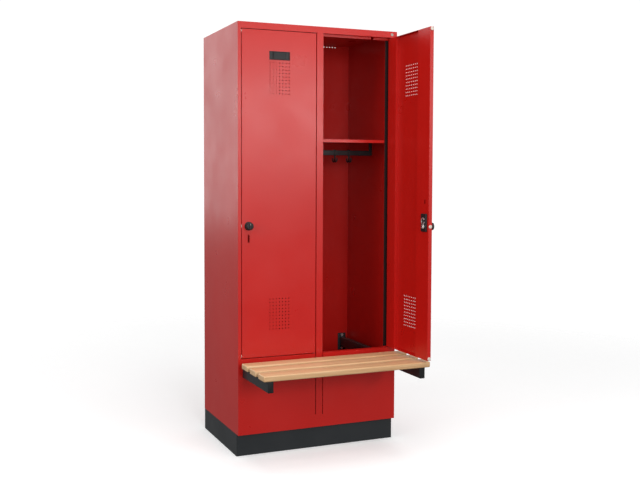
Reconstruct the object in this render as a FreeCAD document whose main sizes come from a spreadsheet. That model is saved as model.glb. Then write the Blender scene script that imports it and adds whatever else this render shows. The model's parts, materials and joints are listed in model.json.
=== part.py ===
import FreeCAD, Part
import math
import os

import Sketcher

# School locker with two doors and a slatted bench in front of its closed lower part.
# Row frame, millimetres: x across the front, y from the front to the back, z up. The origin is on the
# floor, in the middle of the cabinet's width and depth. The left door is shut, the right one stands open.

SIZES = {
    # cabinet
    "cabinet_width": 800,
    "cabinet_depth": 500,
    "cabinet_height": 1950,
    "panel_sheet": 1.0,
    "stile_width": 15,
    "post_width": 32,
    "header_height": 29,
    "fascia_height": 346.5,
    "post_foot": 59,
    "door_gap": 3.4,
    "rear_flange": 15,
    # plinth
    "plinth_height": 102,
    "plinth_setback": 26,
    "plinth_inset": 1,
    "plinth_sheet": 1.5,
    "plinth_flange": 25,
    # door stops
    "lock_stop_gap": 3,
    "lock_stop_width": 7.5,
    "hinge_stop_gap": 8,
    "hinge_stop_width": 35,
    "stop_lip": 7.6,
    "stop_break": 113,
    "strip_width": 18,
    "strip_thick": 3.5,
    # row of vents at the top of the back panel, in each bay
    "back_vent_width": 5,
    "back_vent_pitch": 16,
    "back_vent_count": 16,
    "back_vent_drop": 7,
    # hat shelves
    "shelf_top": 1440.5,
    "shelf_lip": 14,
    "shelf_return": 12,
    "shelf_gap": 2,
    # coat rails and hooks
    "rail_setback": 200,
    "rail_height": 25,
    "rail_thick": 8,
    "rail_drop": 44,
    "rail_inset": 21,
    "rail_end": 16,
    "rail_foot": 30,
    "rail_foot_thick": 3,
    "rail_screw": 4,
    "rail_screw_head": 9,
    "rail_screw_depth": 12,
    "hook_width": 8,
    "hook_wall": 3,
    "hook_clear": 0.3,
    "hook_rod": 6,
    "hook_throat": 8,
    "hook_stem": 17.5,
    "hook_tip": 6,
    "hook_pitch": 77,
    "hook_shift": 26,
    # bench
    "bench_reach": 315,
    "bench_height": 440,
    "slat_thick": 25,
    "slat_width": 70,
    "slat_pitch": 100,
    "slat_round": 6,
    "tube_width": 25,
    "tube_height": 50,
    "tube_wall": 2,
    "tube_inset": 22.5,
    "tube_reach": 302,
    "tube_clear": 0.5,
    "cap_thick": 3,
    "cap_plug": 15,
    "cap_clear": 0.1,
    "plate_width": 50,
    "plate_lap": 20,
    "plate_thick": 3,
    "tube_bolt": 8,
    "tube_bolt_head": 13,
    "tube_bolt_lift": 10,
    "slat_screw": 5,
    "slat_screw_head": 10,
    "slat_screw_grip": 18,
    "slat_screw_access": 12,
    # doors
    "door_sheet": 1.0,
    "door_thick": 18,
    "door_round": 1.5,
    "pin_to_edge": 8,
    "pin_to_face": 8.3,
    "right_door_open": 90,
    "hinge_stiffener": 70,
    "lock_stiffener": 100,
    "vent_hole": 5,
    "vent_columns": 7,
    "vent_rows": 10,
    "vent_pitch_x": 15.5,
    "vent_pitch_z": 15.2,
    "vent_from_top": 211,
    "vent_from_bottom": 192.5,
    # hinges
    "pin_size": 6,
    "pin_clear": 0.05,
    "pin_reach": 12,
    "bush_size": 10,
    "bush_flange": 15,
    "bush_lift": 0.3,
    # label holder
    "label_width": 100,
    "label_height": 38,
    "label_thick": 4,
    "label_bar": 20,
    "label_rim": 3,
    "label_recess": 2.5,
    "label_round": 2,
    "label_from_top": 110,
    # buffers on the free edge of the door
    "buffer_size": 16,
    "buffer_thick": 2.8,
    "buffer_stem": 6,
    "buffer_from_end": 8.5,
    # lock
    "lock_height": 1046,
    "lock_inset": 32,
    "rosette_size": 39,
    "rosette_thick": 3,
    "knob_size": 34,
    "knob_base": 20,
    "knob_grip": 4,
    "knob_grip_width": 12,
    "knob_hub": 16,
    "lock_clear": 0.3,
    "spindle_size": 8,
    "spindle_thread": 6,
    "case_width": 42,
    "case_height": 80,
    "case_below": 23,
    "case_thick": 8,
    "hook_plate": 2.5,
    "hook_rise": 25,
    "hook_outer": 30,
    "hook_inner": 18,
    "hook_nut": 13,
    "hook_nut_thick": 4,
    "hasp_width": 9,
    "hasp_height": 34,
    "hasp_below": 57,
    "spare_width": 7,
    "spare_height": 18,
    "spare_above": 110,
    # plug in the header
    "plug_size": 14,
    "plug_thick": 1.2,
    "plug_stem": 8,
}

doc = FreeCAD.newDocument("school_locker")
sheet = doc.addObject("Spreadsheet::Sheet", "Sizes")
for line, (alias, amount) in enumerate(SIZES.items(), start=1):
    sheet.set(f"A{line}", alias)
    sheet.set(f"B{line}", str(amount))
    sheet.setAlias(f"B{line}", alias)
doc.recompute()


class Size:
    """A length that carries both its number and the spreadsheet expression it comes from."""

    def __init__(self, number, text):
        self.number = number
        self.text = text

    def __add__(self, other):
        other = size_of(other)
        return Size(self.number + other.number, f"({self.text} + {other.text})")

    def __radd__(self, other):
        return size_of(other) + self

    def __sub__(self, other):
        other = size_of(other)
        return Size(self.number - other.number, f"({self.text} - {other.text})")

    def __rsub__(self, other):
        return size_of(other) - self

    def __mul__(self, other):
        other = size_of(other)
        return Size(self.number * other.number, f"({self.text} * {other.text})")

    def __rmul__(self, other):
        return size_of(other) * self

    def __truediv__(self, other):
        other = size_of(other)
        return Size(self.number / other.number, f"({self.text} / {other.text})")

    def __neg__(self):
        return size_of(0) - self


def size_of(amount):
    """The amount as a Size; a plain number stands for itself."""
    if isinstance(amount, Size):
        return amount
    return Size(float(amount), repr(float(amount)))


class Names:
    """The spreadsheet's sizes as attributes, such as d.cabinet_width."""

    def __getattr__(self, alias):
        return Size(float(sheet.get(alias)), f"Sizes.{alias}")


d = Names()
pieces = []


def bind(obj, place, amount):
    """Ties one property of an object to the spreadsheet."""
    obj.setExpression(place, size_of(amount).text)


def piece(obj, label):
    """Marks a finished sub-part; its label names its file."""
    obj.Label = label
    pieces.append(obj)
    return obj


def place_at(obj, x, y, z, angle=0):
    """Puts a finished sub-part at a point, turned about the upright axis."""
    obj.Placement = FreeCAD.Placement(FreeCAD.Vector(0, 0, 0), FreeCAD.Rotation(FreeCAD.Vector(0, 0, 1), 0))
    for axis, amount in zip("xyz", (x, y, z)):
        bind(obj, f"Placement.Base.{axis}", amount)
    bind(obj, "Placement.Rotation.Angle", angle)


def box(x, y, z):
    """A block between pairs of bounds along x, y and z."""
    obj = doc.addObject("Part::Box", "Block")
    for name, axis, (low, high) in zip(("Length", "Width", "Height"), "xyz", (x, y, z)):
        low, high = size_of(low), size_of(high)
        bind(obj, name, high - low)
        bind(obj, f"Placement.Base.{axis}", low)
    return obj


TURNS = {
    "x": FreeCAD.Rotation(FreeCAD.Vector(0, 1, 0), 90),
    "y": FreeCAD.Rotation(FreeCAD.Vector(1, 0, 0), -90),
    "z": FreeCAD.Rotation(),
}


def rod(axis, diameter, ends, centre):
    """A cylinder along one axis; centre holds the two other coordinates in x, y, z order."""
    obj = doc.addObject("Part::Cylinder", "Rod")
    obj.Placement = FreeCAD.Placement(FreeCAD.Vector(0, 0, 0), TURNS[axis])
    low, high = (size_of(end) for end in ends)
    bind(obj, "Radius", size_of(diameter) / 2)
    bind(obj, "Height", high - low)
    others = iter(centre)
    for name in "xyz":
        bind(obj, f"Placement.Base.{name}", low if name == axis else next(others))
    return obj


def hexagon(axis, across, ends, centre):
    """A hexagonal head along one axis; across is the width over its flats."""
    obj = doc.addObject("Part::Prism", "Hexagon")
    obj.Placement = FreeCAD.Placement(FreeCAD.Vector(0, 0, 0), TURNS[axis])
    obj.Polygon = 6
    low, high = (size_of(end) for end in ends)
    bind(obj, "Circumradius", size_of(across) / math.sqrt(3))
    bind(obj, "Height", high - low)
    others = iter(centre)
    for name in "xyz":
        bind(obj, f"Placement.Base.{name}", low if name == axis else next(others))
    return obj


def fuse(*parts):
    """One solid, or a group of separate ones, from several."""
    if len(parts) == 1:
        return parts[0]
    obj = doc.addObject("Part::MultiFuse", "Joined")
    obj.Shapes = list(parts)
    obj.Refine = True
    return obj


def cut(base, *tools):
    """The base with every tool taken out of it."""
    obj = doc.addObject("Part::Cut", "Opened")
    obj.Base = base
    obj.Tool = fuse(*tools)
    obj.Refine = True
    return obj


def rounded(base, radius, chosen):
    """The base with the chosen edges rounded; chosen tests one edge's bounding box."""
    doc.recompute()
    obj = doc.addObject("Part::Fillet", "Rounded")
    obj.Base = base
    numbers = [n for n, edge in enumerate(base.Shape.Edges, start=1) if chosen(edge.BoundBox)]
    obj.Edges = [(n, radius.number, radius.number) for n in numbers]
    return obj


def origin_plane(body, role):
    return next(feature for feature in body.Origin.OriginFeatures if feature.Role == role)


def sketch_on(body, role, name, offset=None):
    """A sketch on one of the body's own origin planes, moved along the plane's normal."""
    sketch = body.newObject("Sketcher::SketchObject", name)
    sketch.AttachmentSupport = (origin_plane(body, role), [""])
    sketch.MapMode = "FlatFace"
    if offset is not None:
        bind(sketch, "AttachmentOffset.Base.z", offset)
    return sketch


def pin_point(sketch, geometry, point, u, v):
    """Ties one point of the sketch to two sizes, measured from the sketch's origin."""
    for kind, amount in (("DistanceX", size_of(u)), ("DistanceY", size_of(v))):
        number = sketch.addConstraint(Sketcher.Constraint(kind, -1, 1, geometry, point, amount.number))
        sketch.setExpression(f"Constraints[{number}]", amount.text)


def outline(sketch, corners):
    """A closed run of straight lines through corners given as pairs of sizes."""
    corners = [(size_of(u), size_of(v)) for u, v in corners]
    points = [FreeCAD.Vector(u.number, v.number, 0) for u, v in corners]
    first = sketch.GeometryCount
    count = len(points)
    for i in range(count):
        sketch.addGeometry(Part.LineSegment(points[i], points[(i + 1) % count]))
    for i in range(count):
        sketch.addConstraint(Sketcher.Constraint("Coincident", first + i, 2, first + (i + 1) % count, 1))
    for i, (u, v) in enumerate(corners):
        pin_point(sketch, first + i, 1, u, v)


def rectangle(sketch, u, v):
    outline(sketch, [(u[0], v[0]), (u[1], v[0]), (u[1], v[1]), (u[0], v[1])])


def circle(sketch, diameter, u, v):
    """A circle in the sketch, its centre tied to two sizes."""
    u, v, radius = size_of(u), size_of(v), size_of(diameter) / 2
    middle = FreeCAD.Vector(u.number, v.number, 0)
    number = sketch.addGeometry(Part.Circle(middle, FreeCAD.Vector(0, 0, 1), radius.number))
    ring = sketch.addConstraint(Sketcher.Constraint("Radius", number, radius.number))
    sketch.setExpression(f"Constraints[{ring}]", radius.text)
    pin_point(sketch, number, 3, u, v)


def pad(body, sketch, length, name, backwards=False):
    """Extrudes a sketch along its normal, or against it."""
    feature = body.newObject("PartDesign::Pad", name)
    feature.Profile = sketch
    feature.Reversed = backwards
    bind(feature, "Length", length)
    doc.recompute()
    return feature


def pocket_through(body, sketch, name):
    """Cuts a sketch through the whole body, both ways; the volume has to fall."""
    before = body.Shape.Volume
    feature = body.newObject("PartDesign::Pocket", name)
    feature.Profile = sketch
    feature.Type = "ThroughAll"
    feature.Midplane = True
    doc.recompute()
    if feature.Shape.Volume >= before:
        raise RuntimeError(f"{name} cuts nothing")
    return feature


def pattern(body, feature, sketch, steps, name):
    """Repeats a feature along the sketch's axes; steps holds (axis, count, pitch)."""
    several = body.newObject("PartDesign::MultiTransform", name)
    several.Originals = [feature]
    lines = []
    for axis, count, pitch in steps:
        line = body.newObject("PartDesign::LinearPattern", f"{name}{axis[0]}")
        line.Direction = (sketch, [axis])
        bind(line, "Occurrences", count)
        bind(line, "Length", (count - 1) * pitch)
        lines.append(line)
    several.Transformations = lines
    body.Tip = several
    doc.recompute()
    return several


# Places worked out from the driving sizes.
half_width = d.cabinet_width / 2
front = -d.cabinet_depth / 2
back = d.cabinet_depth / 2
foot = d.plinth_height
roof = d.cabinet_height - d.panel_sheet
header_foot = d.cabinet_height - d.header_height
fascia_top = foot + d.fascia_height
stile_edge = half_width - d.stile_width
half_post = d.post_width / 2
inner_wall = half_width - d.panel_sheet
back_face = back - d.panel_sheet
panel_front = back_face - d.panel_sheet
# the stops stand behind the shut doors
lock_stop_depth = d.door_thick + d.lock_stop_gap
hinge_stop_depth = d.door_thick + d.hinge_stop_gap
partition_front = front + hinge_stop_depth
half_sheet = d.panel_sheet / 2
shelf_front = partition_front + d.shelf_gap

door_foot = fascia_top + d.door_gap
door_top = header_foot - d.door_gap
door_height = door_top - door_foot
door_width = stile_edge - half_post - 2 * d.door_gap
pivot_y = front + d.pin_to_face
pivots = {
    "left": -half_post - d.door_gap - d.pin_to_edge,
    "right": stile_edge - d.door_gap - d.pin_to_edge,
}
angles = {"left": size_of(0), "right": d.right_door_open}
bays = {"left": (-inner_wall, -half_sheet), "right": (half_sheet, inner_wall)}


def make_plinth():
    """Four folded rails and a cross rail under the partition; their lower flanges stand on the floor."""
    left, right = -half_width + d.plinth_inset, half_width - d.plinth_inset
    y0, y1 = front + d.plinth_setback, back
    wall, flange = d.plinth_sheet, d.plinth_flange
    decks = ((0, wall), (foot - wall, foot))
    for label, y_web, y_flange in (
        ("plinth_front", (y0, y0 + wall), (y0 + wall, y0 + flange)),
        ("plinth_rear", (y1 - wall, y1), (y1 - flange, y1 - wall)),
    ):
        parts = [box((left, right), y_web, (0, foot))]
        parts += [box((left, right), y_flange, deck) for deck in decks]
        piece(fuse(*parts), label)
    for label, x_web, x_flange in (
        ("plinth_left", (left, left + wall), (left + wall, left + flange)),
        ("plinth_right", (right - wall, right), (right - flange, right - wall)),
    ):
        parts = [box(x_web, (y0 + wall, y1 - wall), (wall, foot - wall))]
        parts += [box(x_web, (y0 + flange, y1 - flange), deck) for deck in decks]
        parts += [box(x_flange, (y0 + flange, y1 - flange), deck) for deck in decks]
        piece(fuse(*parts), label)
    parts = [box((-wall / 2, wall / 2), (y0 + flange, y1 - flange), (0, foot))]
    parts += [box((-flange / 2, flange / 2), (y0 + flange, y1 - flange), deck) for deck in decks]
    piece(fuse(*parts), "plinth_cross")


def stop_wall(side_x, toward, depth, width):
    """The fold behind the edge of a door opening: a wall going back, and a flange towards the bay."""
    s = d.panel_sheet
    inner = side_x - toward * s
    tip = side_x + toward * width
    wall = box(ordered(side_x, inner), (front + s, front + depth), (fascia_top, header_foot))
    flange = box(ordered(inner, tip), (front + depth - s, front + depth), (fascia_top, header_foot))
    return [wall, flange]


def ordered(a, b):
    """The two sizes with the smaller one first."""
    a, b = size_of(a), size_of(b)
    return (a, b) if a.number < b.number else (b, a)


def make_side_panels():
    """Side walls folded into the front stile, the door stop and a rear flange."""
    s = d.panel_sheet
    for label, outer, toward, depth, width in (
        ("left_side_panel", -half_width, 1, lock_stop_depth, d.lock_stop_width),
        ("right_side_panel", half_width, -1, hinge_stop_depth, d.hinge_stop_width),
    ):
        inner = outer + toward * s
        edge = outer + toward * d.stile_width
        parts = [
            box(ordered(outer, inner), (front, back), (foot, roof)),
            box(ordered(inner, edge), (front, front + s), (foot, roof)),
            box(ordered(inner, outer + toward * d.rear_flange), (back_face, back), (foot, roof)),
        ]
        parts += stop_wall(edge, toward, depth, width)
        piece(fuse(*parts), label)


def make_back_panel():
    """A flat sheet with a row of vents under the roof in each bay."""
    body = doc.addObject("PartDesign::Body", "BackPanel")
    flat = sketch_on(body, "XZ_Plane", "BackOutline", -back_face)
    rectangle(flat, (-inner_wall, inner_wall), (foot + d.panel_sheet, roof))
    pad(body, flat, d.panel_sheet, "BackSheet")
    row_length = (d.back_vent_count - 1) * d.back_vent_pitch
    vent_z = roof - d.back_vent_drop
    for side, (low, high) in bays.items():
        first = (low + high) / 2 - row_length / 2
        holes = sketch_on(body, "XZ_Plane", f"BackVent{side}", -back_face)
        circle(holes, d.back_vent_width, first, vent_z)
        vent = pocket_through(body, holes, f"BackHole{side}")
        pattern(body, vent, holes, [("H_Axis", d.back_vent_count, d.back_vent_pitch)], f"BackRow{side}")
    piece(body, "back_panel")


def make_roof_and_header():
    """The roof sheet, and the rail over the doors with its stop flanges."""
    s = d.panel_sheet
    piece(box((-half_width, half_width), (front, back), (roof, d.cabinet_height)), "roof_panel")
    lip_foot = header_foot - d.door_gap - d.stop_lip
    parts = [
        box((-stile_edge, stile_edge), (front, front + s), (header_foot, roof)),
        box((-stile_edge, stile_edge), (front + s, front + hinge_stop_depth), (header_foot, header_foot + s)),
    ]
    for lock_edge, hinge_edge in ((-stile_edge, -half_post), (half_post, stile_edge)):
        parts += stop_lips(lock_edge, hinge_edge, (lip_foot, header_foot))
    rail = fuse(*parts)
    tools = [rod("z", d.pin_size, (header_foot, header_foot + s), (x, pivot_y)) for x in pivots.values()]
    plug_z = header_foot + (roof - header_foot) / 2
    tools.append(rod("y", d.plug_stem, (front, front + s), (pivots["right"], plug_z)))
    piece(cut(rail, *tools), "header_rail")
    plug = [
        rod("y", d.plug_size, (front - d.plug_thick, front), (pivots["right"], plug_z)),
        rod("y", d.plug_stem, (front, front + 4 * s), (pivots["right"], plug_z)),
    ]
    piece(fuse(*plug), "header_plug")


def stop_lips(lock_edge, hinge_edge, z):
    """Stop lips along the top of a door opening, set further back near the hinge."""
    s = d.panel_sheet
    turn = hinge_edge - d.stop_break
    shallow = front + lock_stop_depth
    deep = front + hinge_stop_depth
    return [
        box((lock_edge + d.lock_stop_width, turn), (shallow - s, shallow), z),
        box((turn + 2 * d.stop_lip, hinge_edge - d.hinge_stop_width), (deep - s, deep), z),
    ]


def make_floor_and_fascia():
    """The floor sheet, and the closed front below the doors with the slots beside the post."""
    s = d.panel_sheet
    piece(box((-inner_wall, inner_wall), (front + s, back_face), (foot, foot + s)), "floor_panel")
    notch = half_post + d.door_gap
    parts = [box((-stile_edge, stile_edge), (front, front + s), (foot, fascia_top))]
    for lock_edge, hinge_edge in ((-stile_edge, -half_post), (half_post, stile_edge)):
        low = size_of(lock_edge) if lock_edge.number < -1 - half_post.number else notch
        high = size_of(hinge_edge) if hinge_edge.number > 1 else -notch
        parts.append(box((low, high), (front + s, front + hinge_stop_depth), (fascia_top - s, fascia_top)))
    tools = [box((-notch, notch), (front, front + s), (foot + d.post_foot, fascia_top))]
    for low, high in tube_spans():
        x = (low - d.tube_clear, high + d.tube_clear)
        z = (tube_foot - d.tube_clear, tube_top + d.tube_clear)
        tools.append(box(x, (front, front + s), z))
    tools += [rod("z", d.pin_size, (fascia_top - s, fascia_top), (x, pivot_y)) for x in pivots.values()]
    piece(cut(fuse(*parts), *tools), "lower_fascia")


def make_post_and_partition():
    """The folded post between the doors, and the partition welded behind it."""
    s = d.panel_sheet
    parts = [box((-half_post, half_post), (front, front + s), (foot + d.post_foot, header_foot))]
    for side, toward, depth in ((-half_post, 1, hinge_stop_depth), (half_post, -1, lock_stop_depth)):
        x = ordered(side, side + toward * s)
        parts.append(box(x, (front + s, front + depth), (foot + s, header_foot)))
    parts += stop_wall(-half_post, -1, hinge_stop_depth, d.hinge_stop_width)
    parts += stop_wall(half_post, 1, lock_stop_depth, d.lock_stop_width)
    piece(fuse(*parts), "centre_post")
    wing = -half_post - d.hinge_stop_width / 2
    sheet_part = box((-half_sheet, half_sheet), (partition_front, panel_front), (foot + s, roof))
    wing_part = box((wing, -half_sheet), (partition_front, partition_front + s), (fascia_top, header_foot))
    piece(fuse(sheet_part, wing_part), "centre_partition")


def make_stop_strips():
    """Soft strips on the front of the hinge-side stop flanges."""
    for side, edge in (("left", -half_post), ("right", stile_edge)):
        low = edge - d.hinge_stop_width
        face = front + hinge_stop_depth - d.panel_sheet
        x, y = (low, low + d.strip_width), (face - d.strip_thick, face)
        z = (fascia_top + d.door_gap, header_foot - d.door_gap - d.stop_lip)
        piece(box(x, y, z), f"{side}_stop_strip")


def rail_span(side):
    low, high = bays[side]
    return low + d.rail_inset, high - d.rail_inset


rail_y = front + d.rail_setback
shelf_under = d.shelf_top - d.panel_sheet
rail_top = shelf_under - d.rail_drop
rail_foot_z = rail_top - d.rail_height


def make_shelves_and_rails():
    """Hat shelves with a folded front lip, and the coat rails screwed up under them."""
    s = d.panel_sheet
    screws = []
    for side, (low, high) in bays.items():
        parts = [
            box((low, high), (shelf_front, panel_front), (shelf_under, d.shelf_top)),
            box((low, high), (shelf_front, shelf_front + s), (d.shelf_top - d.shelf_lip, shelf_under)),
            box(
                (low, high),
                (shelf_front + s, shelf_front + d.shelf_return),
                (d.shelf_top - d.shelf_lip, d.shelf_top - d.shelf_lip + s),
            ),
        ]
        rail_low, rail_high = rail_span(side)
        ends = ((rail_low, rail_low + d.rail_end), (rail_high - d.rail_end, rail_high))
        middles = [(a + b) / 2 for a, b in ends]
        tools = [rod("z", d.rail_screw, (shelf_under, d.shelf_top), (x, rail_y)) for x in middles]
        piece(cut(fuse(*parts), *tools), f"{side}_hat_shelf")

        thick = (rail_y - d.rail_thick / 2, rail_y + d.rail_thick / 2)
        bar = rounded(
            box((rail_low, rail_high), thick, (rail_foot_z, rail_top)),
            d.rail_thick / 4,
            lambda edge: edge.XLength > 1,
        )
        parts = [bar]
        foot_y = (rail_y - d.rail_foot / 2, rail_y + d.rail_foot / 2)
        for end in ends:
            parts.append(box(end, thick, (rail_top - d.rail_thick, shelf_under)))
            parts.append(box(end, foot_y, (shelf_under - d.rail_foot_thick, shelf_under)))
        depth = shelf_under - d.rail_screw_depth
        tools = [rod("z", d.rail_screw, (depth, shelf_under), (x, rail_y)) for x in middles]
        piece(cut(fuse(*parts), *tools), f"{side}_coat_rail")
        for x in middles:
            shank = rod("z", d.rail_screw, (depth, d.shelf_top), (x, rail_y))
            head = rod("z", d.rail_screw_head, (d.shelf_top, d.shelf_top + d.rail_screw / 2), (x, rail_y))
            screws.append(fuse(shank, head))
    piece(fuse(*screws), "rail_screws")


def make_coat_hooks():
    """Sliding hooks: a collar round the rail, a stem, and a prong to the front and to the back."""
    inner_y = d.rail_thick / 2 + d.hook_clear
    outer_y = inner_y + d.hook_wall
    collar_top = rail_top + d.hook_clear + d.hook_wall
    collar_foot = rail_foot_z - d.hook_clear - d.hook_wall
    bend = d.hook_throat + d.hook_rod
    bend_z = collar_foot - d.hook_stem
    for side, (low, high) in bays.items():
        for number, step in enumerate((-1, 0, 1), start=1):
            x = (low + high) / 2 - d.hook_shift + step * d.hook_pitch
            across = (x - d.hook_width / 2, x + d.hook_width / 2)
            collar = cut(
                box(across, (rail_y - outer_y, rail_y + outer_y), (collar_foot, collar_top)),
                box(across, (rail_y - inner_y, rail_y + inner_y), (rail_foot_z - d.hook_clear, rail_top + d.hook_clear)),
            )
            stem = (rail_y - d.hook_rod / 2, rail_y + d.hook_rod / 2)
            parts = [collar, box(across, stem, (bend_z, collar_foot))]
            for way in (-1, 1):
                centre = rail_y + way * (d.hook_throat + d.hook_rod / 2)
                ring = cut(
                    rod("x", 2 * bend, across, (centre, bend_z)),
                    rod("x", 2 * d.hook_throat, across, (centre, bend_z)),
                    box(across, (centre - bend, centre + bend), (bend_z, bend_z + bend)),
                )
                tip_y = centre + way * (d.hook_throat + d.hook_rod / 2)
                tip = (tip_y - d.hook_rod / 2, tip_y + d.hook_rod / 2)
                parts += [ring, box(across, tip, (bend_z, bend_z + d.hook_tip))]
                parts.append(rod("x", d.hook_rod, across, (tip_y, bend_z + d.hook_tip)))
            piece(fuse(*parts), f"{side}_coat_hook_{number}")


tube_top = d.bench_height - d.slat_thick
tube_foot = tube_top - d.tube_height


def tube_spans():
    """The two bench tubes' bounds across the front."""
    outer = half_width - d.tube_inset
    return (-outer, -outer + d.tube_width), (outer - d.tube_width, outer)


def slat_rows():
    """The slats' front edges, from the front one to the rear one."""
    return [front - d.bench_reach + step * d.slat_pitch for step in range(3)]


def make_bench():
    """Two tubes through the fascia, welded to plates on the back panel, with slats on their front part."""
    wall = d.tube_wall
    tube_front = front - d.tube_reach
    plate_front = panel_front - d.plate_thick
    screw_x = [(low + high) / 2 for low, high in tube_spans()]
    bolt_z = [(tube_foot + tube_top) / 2 + way * (d.tube_height / 2 + d.tube_bolt_lift) for way in (-1, 1)]
    screw_rows = [row + d.slat_width / 2 for row in slat_rows()]
    screws, caps, bolts = [], [], []
    for side, (low, high), x in zip(("left", "right"), tube_spans(), screw_x):
        hollow_x, hollow_z = (low + wall, high - wall), (tube_foot + wall, tube_top - wall)
        plate = (x - d.plate_width / 2 + wall, x + d.plate_width / 2 - wall)
        plate_z = (tube_foot - d.plate_lap, tube_top + d.plate_lap)
        tube = cut(
            box((low, high), (tube_front, plate_front), (tube_foot, tube_top)),
            box(hollow_x, (tube_front, plate_front), hollow_z),
        )
        tools = [rod("y", d.tube_bolt, (plate_front, panel_front), (x, z)) for z in bolt_z]
        tools += [rod("z", d.slat_screw, (tube_top - wall, tube_top), (x, y)) for y in screw_rows]
        tools += [rod("z", d.slat_screw_access, (tube_foot, tube_foot + wall), (x, y)) for y in screw_rows]
        piece(cut(fuse(tube, box(plate, (plate_front, panel_front), plate_z)), *tools), f"{side}_bench_tube")

        gap = d.cap_clear
        plug_x, plug_z = (low + wall + gap, high - wall - gap), (tube_foot + wall + gap, tube_top - wall - gap)
        cap = box((low, high), (tube_front - d.cap_thick, tube_front), (tube_foot, tube_top))
        caps.append(fuse(cap, box(plug_x, (tube_front, tube_front + d.cap_plug), plug_z)))
        for z in bolt_z:
            head = hexagon("y", d.tube_bolt_head, (plate_front - d.tube_bolt * 0.65, plate_front), (x, z))
            bolts.append(fuse(head, rod("y", d.tube_bolt, (plate_front, panel_front), (x, z))))
        for y in screw_rows:
            under = tube_top - wall
            head = rod("z", d.slat_screw_head, (under - d.slat_screw / 2, under), (x, y))
            screws.append(fuse(head, rod("z", d.slat_screw, (under, tube_top + d.slat_screw_grip), (x, y))))
    piece(fuse(*caps), "tube_caps")
    piece(fuse(*bolts), "tube_bolts")
    piece(fuse(*screws), "slat_screws")

    for name, row in zip(("front", "middle", "rear"), slat_rows()):
        slat = rounded(
            box((-half_width, half_width), (row, row + d.slat_width), (tube_top, d.bench_height)),
            d.slat_round,
            lambda edge: edge.XLength > 1,
        )
        holes = [
            rod("z", d.slat_screw, (tube_top, tube_top + d.slat_screw_grip), (x, row + d.slat_width / 2))
            for x in screw_x
        ]
        piece(cut(slat, *holes), f"{name}_slat")


def make_hinge_pins():
    """Four pins: two down from the header rail and two up from the fascia, on the doors' pivots."""
    s = d.panel_sheet
    pins = []
    for x in pivots.values():
        at = (x, pivot_y)
        upper = rod("z", d.pin_size, (door_top - d.pin_reach, header_foot + s), at)
        upper_head = rod("z", 2 * d.pin_size, (header_foot + s, header_foot + 3 * s), at)
        lower = rod("z", d.pin_size, (fascia_top - s, door_foot + d.pin_reach), at)
        lower_head = rod("z", 2 * d.pin_size, (fascia_top - 3 * s, fascia_top - s), at)
        pins += [fuse(upper, upper_head), fuse(lower, lower_head)]
    piece(fuse(*pins), "hinge_pins")


# Door frame: the origin is on the hinge axis at floor height, the shut door runs towards -x,
# its face looks along -y. Every door piece is drawn there and then placed on its pivot.
hinge_edge_x = d.pin_to_edge
free_edge_x = d.pin_to_edge - door_width
face_y = -d.pin_to_face
rear_y = d.door_thick - d.pin_to_face
door_middle_x = (hinge_edge_x + free_edge_x) / 2
lock_x = free_edge_x + d.lock_inset
edge_y = (face_y + rear_y) / 2


def on_door(obj, side, label):
    """Places a finished door piece on its pivot."""
    place_at(obj, pivots[side], pivot_y, 0, angles[side])
    return piece(obj, label)


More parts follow.
